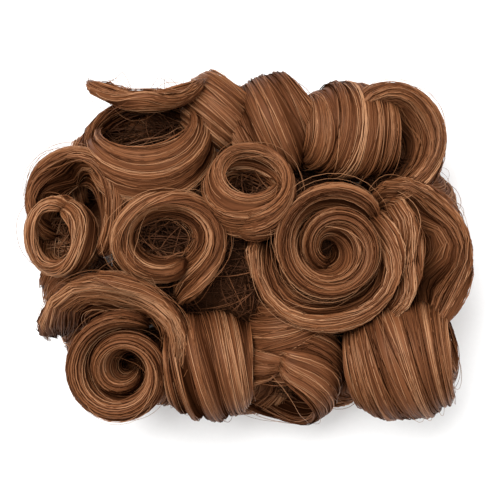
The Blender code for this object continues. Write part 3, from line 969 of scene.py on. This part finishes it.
def modified(thing, kind, **settings):
    """Adds a modifier with these settings and applies it."""
    made = thing.modifiers.new(kind, kind)
    for name, value in settings.items():
        setattr(made, name, value)
    bpy.ops.object.modifier_apply(modifier=kind)


def spun_bar(name, outer, width, low, high, half_length, bevel):
    """A bar along the bow. outer is how far its outer face lies from the spine's outer face."""
    radius = BOW_RADIUS - outer - width / 2
    centre = (COMB_HALF - BOW_RADIUS) * MM
    start = -math.asin(half_length / BOW_RADIUS)
    across, along = radius * math.cos(start) * MM, radius * math.sin(start) * MM
    bpy.ops.mesh.primitive_plane_add(
        size=1, location=(centre + across, along, (low + high) / 2 * MM), rotation=(math.pi / 2, 0, start)
    )
    bar = bpy.context.object
    bar.name = name
    bar.scale = (width * MM, (high - low) * MM, 1)
    bpy.ops.object.transform_apply()
    bpy.ops.object.mode_set(mode="EDIT")
    bpy.ops.mesh.select_all(action="SELECT")
    bpy.ops.mesh.spin(steps=28, angle=2 * start, center=(centre, 0, 0), axis=(0, 0, 1))
    bpy.ops.mesh.select_all(action="SELECT")
    bpy.ops.mesh.remove_doubles(threshold=0.00001)
    close_mesh()
    modified(bar, "BEVEL", width=bevel * MM, segments=3)
    bpy.ops.object.shade_smooth_by_angle(angle=math.radians(35))
    return bar


def rail_bead(y):
    """One round bead on the rail, at the root of a tooth."""
    bead = stretched_sphere(16, 10, (2.1, 2.3, 2.75), (COMB_HALF - 5.4 - bow_offset(y), y, 2.9))
    bpy.ops.object.mode_set(mode="OBJECT")
    bpy.ops.object.shade_smooth()
    return bead


def comb_spine():
    """Wall, web, rail and beads of the right comb."""
    wall = spun_bar("comb_right_amber", 0.0, 3.1, 0.0, 7.0, SPINE_HALF_LENGTH, 0.9)
    web = spun_bar("web", 2.4, 3.2, 1.2, 4.2, SPINE_HALF_LENGTH - 1.5, 0.3)
    rail = spun_bar("rail", 4.3, 2.0, 1.3, 4.6, SPINE_HALF_LENGTH - 1.0, 0.6)
    return joined(wall, [web, rail] + [rail_bead(y) for y in TOOTH_ROWS])


SPINE = comb_spine()
print("comb spine:", triangles(SPINE), "triangles,", [round(v / MM, 1) for v in SPINE.dimensions], "mm")

# %% [markdown]
# Each tooth is a pair of tines that part round a slot and meet again at the point. One tine is drawn out
# from a small circle by extruding it station by station, moved and resized each time. A mirror makes its
# twin, and subdivision rounds both. Then the tooth is copied along the spine.

# %% The teeth

TOOTH_HEIGHT = 2.2
Station = namedtuple("Station", "share aside half_width half_height")
TINE = [
    Station(0.0, 0.75, 0.8, 1.1),
    Station(0.2, 0.8, 0.8, 1.1),
    Station(0.33, 1.37, 0.66, 1.05),
    Station(0.57, 1.3, 0.62, 1.0),
    Station(0.76, 0.55, 0.55, 0.9),
    Station(0.97, 0.16, 0.34, 0.7),
    Station(1.0, 0.1, 0.2, 0.4),
]


def one_tooth():
    """A tooth that points along -X from the origin."""
    first = TINE[0]
    middle = (0, first.aside * MM, TOOTH_HEIGHT / 2 * MM)
    bpy.ops.mesh.primitive_circle_add(
        vertices=8, radius=1, fill_type="NGON", location=middle, rotation=(0, math.pi / 2, 0)
    )
    tooth = bpy.context.object
    bpy.ops.object.transform_apply()
    bpy.ops.object.mode_set(mode="EDIT")
    bpy.ops.mesh.select_all(action="SELECT")
    bpy.ops.transform.resize(
        value=(1, first.half_width * MM, first.half_height * MM), center_override=middle
    )
    for near, far in zip(TINE, TINE[1:]):
        move = ((near.share - far.share) * TOOTH_LENGTH * MM, (far.aside - near.aside) * MM, 0)
        bpy.ops.mesh.extrude_region_move(TRANSFORM_OT_translate={"value": move})
        here = (-far.share * TOOTH_LENGTH * MM, far.aside * MM, TOOTH_HEIGHT / 2 * MM)
        shrink = (1, far.half_width / near.half_width, far.half_height / near.half_height)
        bpy.ops.transform.resize(value=shrink, center_override=here)
    close_mesh()
    modified(tooth, "MIRROR", use_axis=(False, True, False), use_mirror_merge=False)
    modified(tooth, "SUBSURF", levels=1, render_levels=1)
    bpy.ops.object.shade_smooth()
    return tooth


def copy_of(thing, name, matrix):
    """A copy with its own mesh, moved by a matrix."""
    made = placed(name, thing.data.copy())
    made.data.transform(matrix)
    return made


def whole_comb():
    """The right comb: the spine and its row of teeth."""
    tooth = one_tooth()
    teeth = []
    for k, y in enumerate(TOOTH_ROWS):
        root = Vector((COMB_HALF - 5.5 - bow_offset(y), y, 0)) * MM
        teeth.append(copy_of(tooth, f"tooth_{k}", Matrix.Translation(root)))
    bpy.data.objects.remove(tooth)
    return joined(SPINE, teeth)


def finish_comb(comb, node):
    """Gives a comb its plastic, hangs it on the root body and hides the node that it stands for."""
    comb.data.materials.clear()
    comb.data.materials.append(AMBER)
    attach(comb, "root")
    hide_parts(node)


RIGHT_COMB = whole_comb()
LEFT_COMB = copy_of(RIGHT_COMB, "comb_left_amber", Matrix.Rotation(math.pi, 4, "Z"))
finish_comb(RIGHT_COMB, "comb_right")
finish_comb(LEFT_COMB, "comb_left")
print("comb:", triangles(RIGHT_COMB), "triangles")

# %% [markdown]
# The elastics are spun: three soft rust brown plies wind round each other, and fibres stand off them.
# A screw modifier could wind them along a straight line, but these cords wave in the middle, so the
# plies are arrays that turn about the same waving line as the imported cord.

# %% The elastic cords

CORD_HEIGHT = 4.0
CORD_WAVE_LENGTH = 56
CORD_SLACK_REACH = 22
PLY_RADIUS = 0.62
PLY_ASIDE = 0.58
PLY_PITCH = 5.5
PLY_STATIONS = 240
FIBRES = 70
FIBRE_STATIONS = 12
FIBRE_ASIDE = 1.05
FIBRE_RADIUS = 0.06
FIBRE_PITCH = 9.0
FIBRE_RISE = 0.9
CordRow = namedtuple("CordRow", "node y wave")


def cord_line(row, x):
    """The cord's middle line at these places along X, in millimetres."""
    slack = np.exp(-((x / CORD_SLACK_REACH) ** 4))
    y = row.y + row.wave * np.sin(2 * np.pi * x / CORD_WAVE_LENGTH) * slack
    return np.stack([x, y, np.full(x.shape, CORD_HEIGHT)], -1)


def cord_material():
    """Matt spun elastic with fine streaks along the plies."""
    made, tree, shader = new_material("rust_elastic")
    fine = streaks_on(tree, 500.0, 3500.0)["Fine"]
    stops = [(0.25, (0.12, 0.035, 0.012)), (0.55, (0.33, 0.11, 0.035)), (0.8, (0.52, 0.22, 0.09))]
    looks = {
        "Base Color": ramp(tree, fine, stops),
        "Normal": bumped(tree, fine, 0.8, 0.2 * MM),
        "Roughness": 0.85,
        "Sheen Weight": 0.3,
    }
    feed(tree, shader, looks)
    return made


def wound(row, count, aside, radius, low, high, pitch, sides, rng):
    """Tubes that wind about the cord's line. Those with three sides are fibres that rise off it."""
    reach = COMB_HALF - 7.35 - bow_offset(row.y)
    fibre = sides == 3
    steps = np.linspace(0, 1, FIBRE_STATIONS if fibre else PLY_STATIONS)
    start = column(rng, *low, count)
    share = start + column(rng, *high, count) * steps
    x = reach * (2 * np.clip(share, 0, 1) - 1)
    turn = 2 * np.pi * (x / pitch + (np.arange(count) / count)[:, None])
    away = np.stack([np.zeros(x.shape), np.cos(turn), np.sin(turn)], -1)
    rise = np.full(x.shape, aside)
    if fibre:
        rise = rise + column(rng, 0, FIBRE_RISE, count) * np.sin(np.pi * steps)
    paths = cord_line(row, x) + away * rise[..., None]
    across = np.broadcast_to(np.abs(np.arange(sides) / sides - 0.5) * 2 * np.pi * radius * MM, (count, sides))
    rings = strand_rings(paths * MM, away, np.full(x.shape, radius * MM), sides)
    return tube_bundle(rings, (x + reach) * MM, across, np.full(count, 0.5))


RUST = cord_material()
CORD_ROWS = [CordRow("elastic_upper", 27, 1.2), CordRow("elastic_lower", -32.4, 1.8)]
for row in CORD_ROWS:
    rng = np.random.default_rng(71 + len(row.node))
    plies = wound(row, 3, PLY_ASIDE, PLY_RADIUS, (0, 0), (1, 1), PLY_PITCH, 8, rng)
    fibres = wound(row, FIBRES, FIBRE_ASIDE, FIBRE_RADIUS, (0, 0.9), (0.03, 0.08), FIBRE_PITCH, 3, rng)
    cord = piece_from(row.node + "_cord", [plies, fibres], RUST)
    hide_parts(row.node)
    print(cord.name, triangles(cord), "triangles")

# %% [markdown]
# The floor is a pale sheet that runs far past the view. A large soft light hangs up and to the left, and
# a weaker one to the right, so that each curl has a light side and its hollow stays dark.

# %% Floor, light and camera


def floor_material():
    """Matt white paper with a trace of tooth."""
    made, tree, shader = new_material("studio_paper")
    place = shader_node(tree, "TexCoord").outputs["Object"]
    tooth = noise(tree, place, 400.0, 3.0, 0.5)
    paper = ramp(tree, tooth, [(0.0, (0.86, 0.86, 0.86)), (1.0, (0.9, 0.9, 0.9))])
    feed(tree, shader, {"Base Color": paper, "Roughness": 0.9})
    return made


bpy.ops.mesh.primitive_plane_add(size=4, location=(0, 0, cad_low.z))
floor = bpy.context.object
floor.name = "floor"
floor.data.materials.append(floor_material())


def soft_light(name, place, size, watts):
    """A square area light that faces the middle of the piece."""
    lamp = bpy.data.lights.new(name, "AREA")
    lamp.size = size
    lamp.energy = watts
    made = placed(name, lamp)
    made.location = place
    aim = Vector((0, 0, 0.03)) - Vector(place)
    made.rotation_euler = aim.to_track_quat("-Z", "Y").to_euler()
    return made


soft_light("key_light", (-0.42, 0.5, 1.15), 0.9, 25)
soft_light("fill_light", (0.7, -0.35, 0.9), 1.0, 7)
world = bpy.data.worlds.new("studio")
bpy.context.scene.world = world
world.use_nodes = True
feed(world.node_tree, world.node_tree.nodes["Background"], {"Color": (1, 0.99, 0.98, 1), "Strength": 0.6})
bpy.context.scene.view_settings.view_transform = "Standard"

LENS = 85
SENSOR = 36
FRAME_SHARE = 0.88  # of the picture's width that the piece fills
lens_data = bpy.data.cameras.new("camera")
lens_data.lens = LENS
lens_data.sensor_width = SENSOR
camera = placed("camera", lens_data)
view_width = (cad_high.x - cad_low.x) / FRAME_SHARE
middle_height = (cad_low.z + cad_high.z) / 2
camera.location = (
    (cad_low.x + cad_high.x) / 2,
    (cad_low.y + cad_high.y) / 2,
    middle_height + view_width * LENS / SENSOR,
)
bpy.context.scene.camera = camera
print(f"camera {camera.location.z:.3f} m up")
